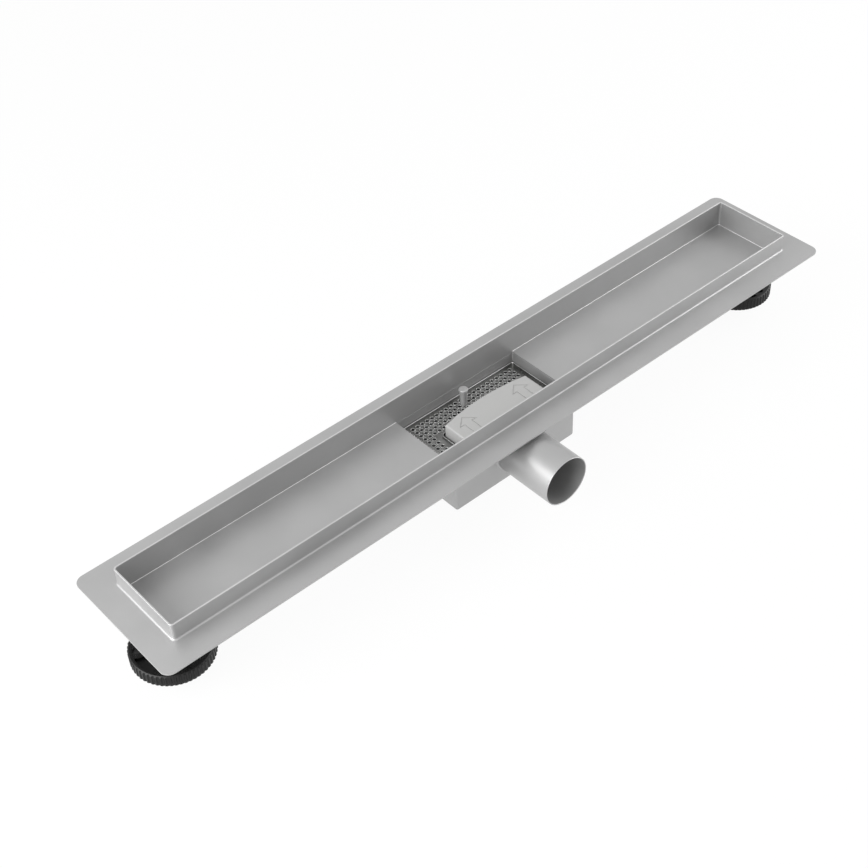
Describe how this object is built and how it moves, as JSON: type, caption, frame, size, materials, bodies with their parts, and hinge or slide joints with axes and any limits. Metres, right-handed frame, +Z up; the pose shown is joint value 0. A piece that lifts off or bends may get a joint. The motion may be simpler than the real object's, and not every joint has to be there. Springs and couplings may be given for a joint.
{
  "type": "linear shower drain",
  "caption": "Long steel shower channel with raised rim, tiling flange, side outlet spigot, lift-out strainer and odour trap, on screw feet.",
  "frame": {"origin": "centre of the footprint, outlet spigot included, on the plane that the feet and the sump stand on", "axes": "+X along the trough, -Y the way the outlet spigot points, +Z up"},
  "size_m": [0.8, 0.176, 0.0825],
  "materials": {
    "stainless": "fine satin, drawn along the sheet",
    "perforated_steel": "punched sheet, half bright",
    "knob_steel": "turned, satin",
    "trap_plastic": "moulded, fine matt",
    "seal_rubber": "moulded, matt",
    "foot_plastic": "moulded, half matt",
    "zinc_steel": "zinc plated"
  },
  "bodies": {
    "drain": {"trough": "stainless", "flange": "stainless", "sump": "stainless", "outlet_pipe": "stainless", "trap_weir": "stainless", "trap_bell": "trap_plastic", "trap_seal": "seal_rubber", "strainer_tray": "perforated_steel", "left_tray_ledge": "stainless", "right_tray_ledge": "stainless", "lifting_knob": "knob_steel", "knob_nut": "zinc_steel", "left_foot_socket": "zinc_steel", "left_lock_nut": "zinc_steel", "right_foot_socket": "zinc_steel", "right_lock_nut": "zinc_steel"},
    "left_foot": {"left_foot_disc": "foot_plastic", "left_foot_stud": "zinc_steel"},
    "right_foot": {"right_foot_disc": "foot_plastic", "right_foot_stud": "zinc_steel"}
  },
  "joints": [
    {"name": "left_foot_height", "type": "slide", "parent": "drain", "child": "left_foot", "axis": [0, 0, -1], "range_m": [-0.0015, 0.02]},
    {"name": "right_foot_height", "type": "slide", "parent": "drain", "child": "right_foot", "axis": [0, 0, -1], "range_m": [-0.0015, 0.02]}
  ]
}
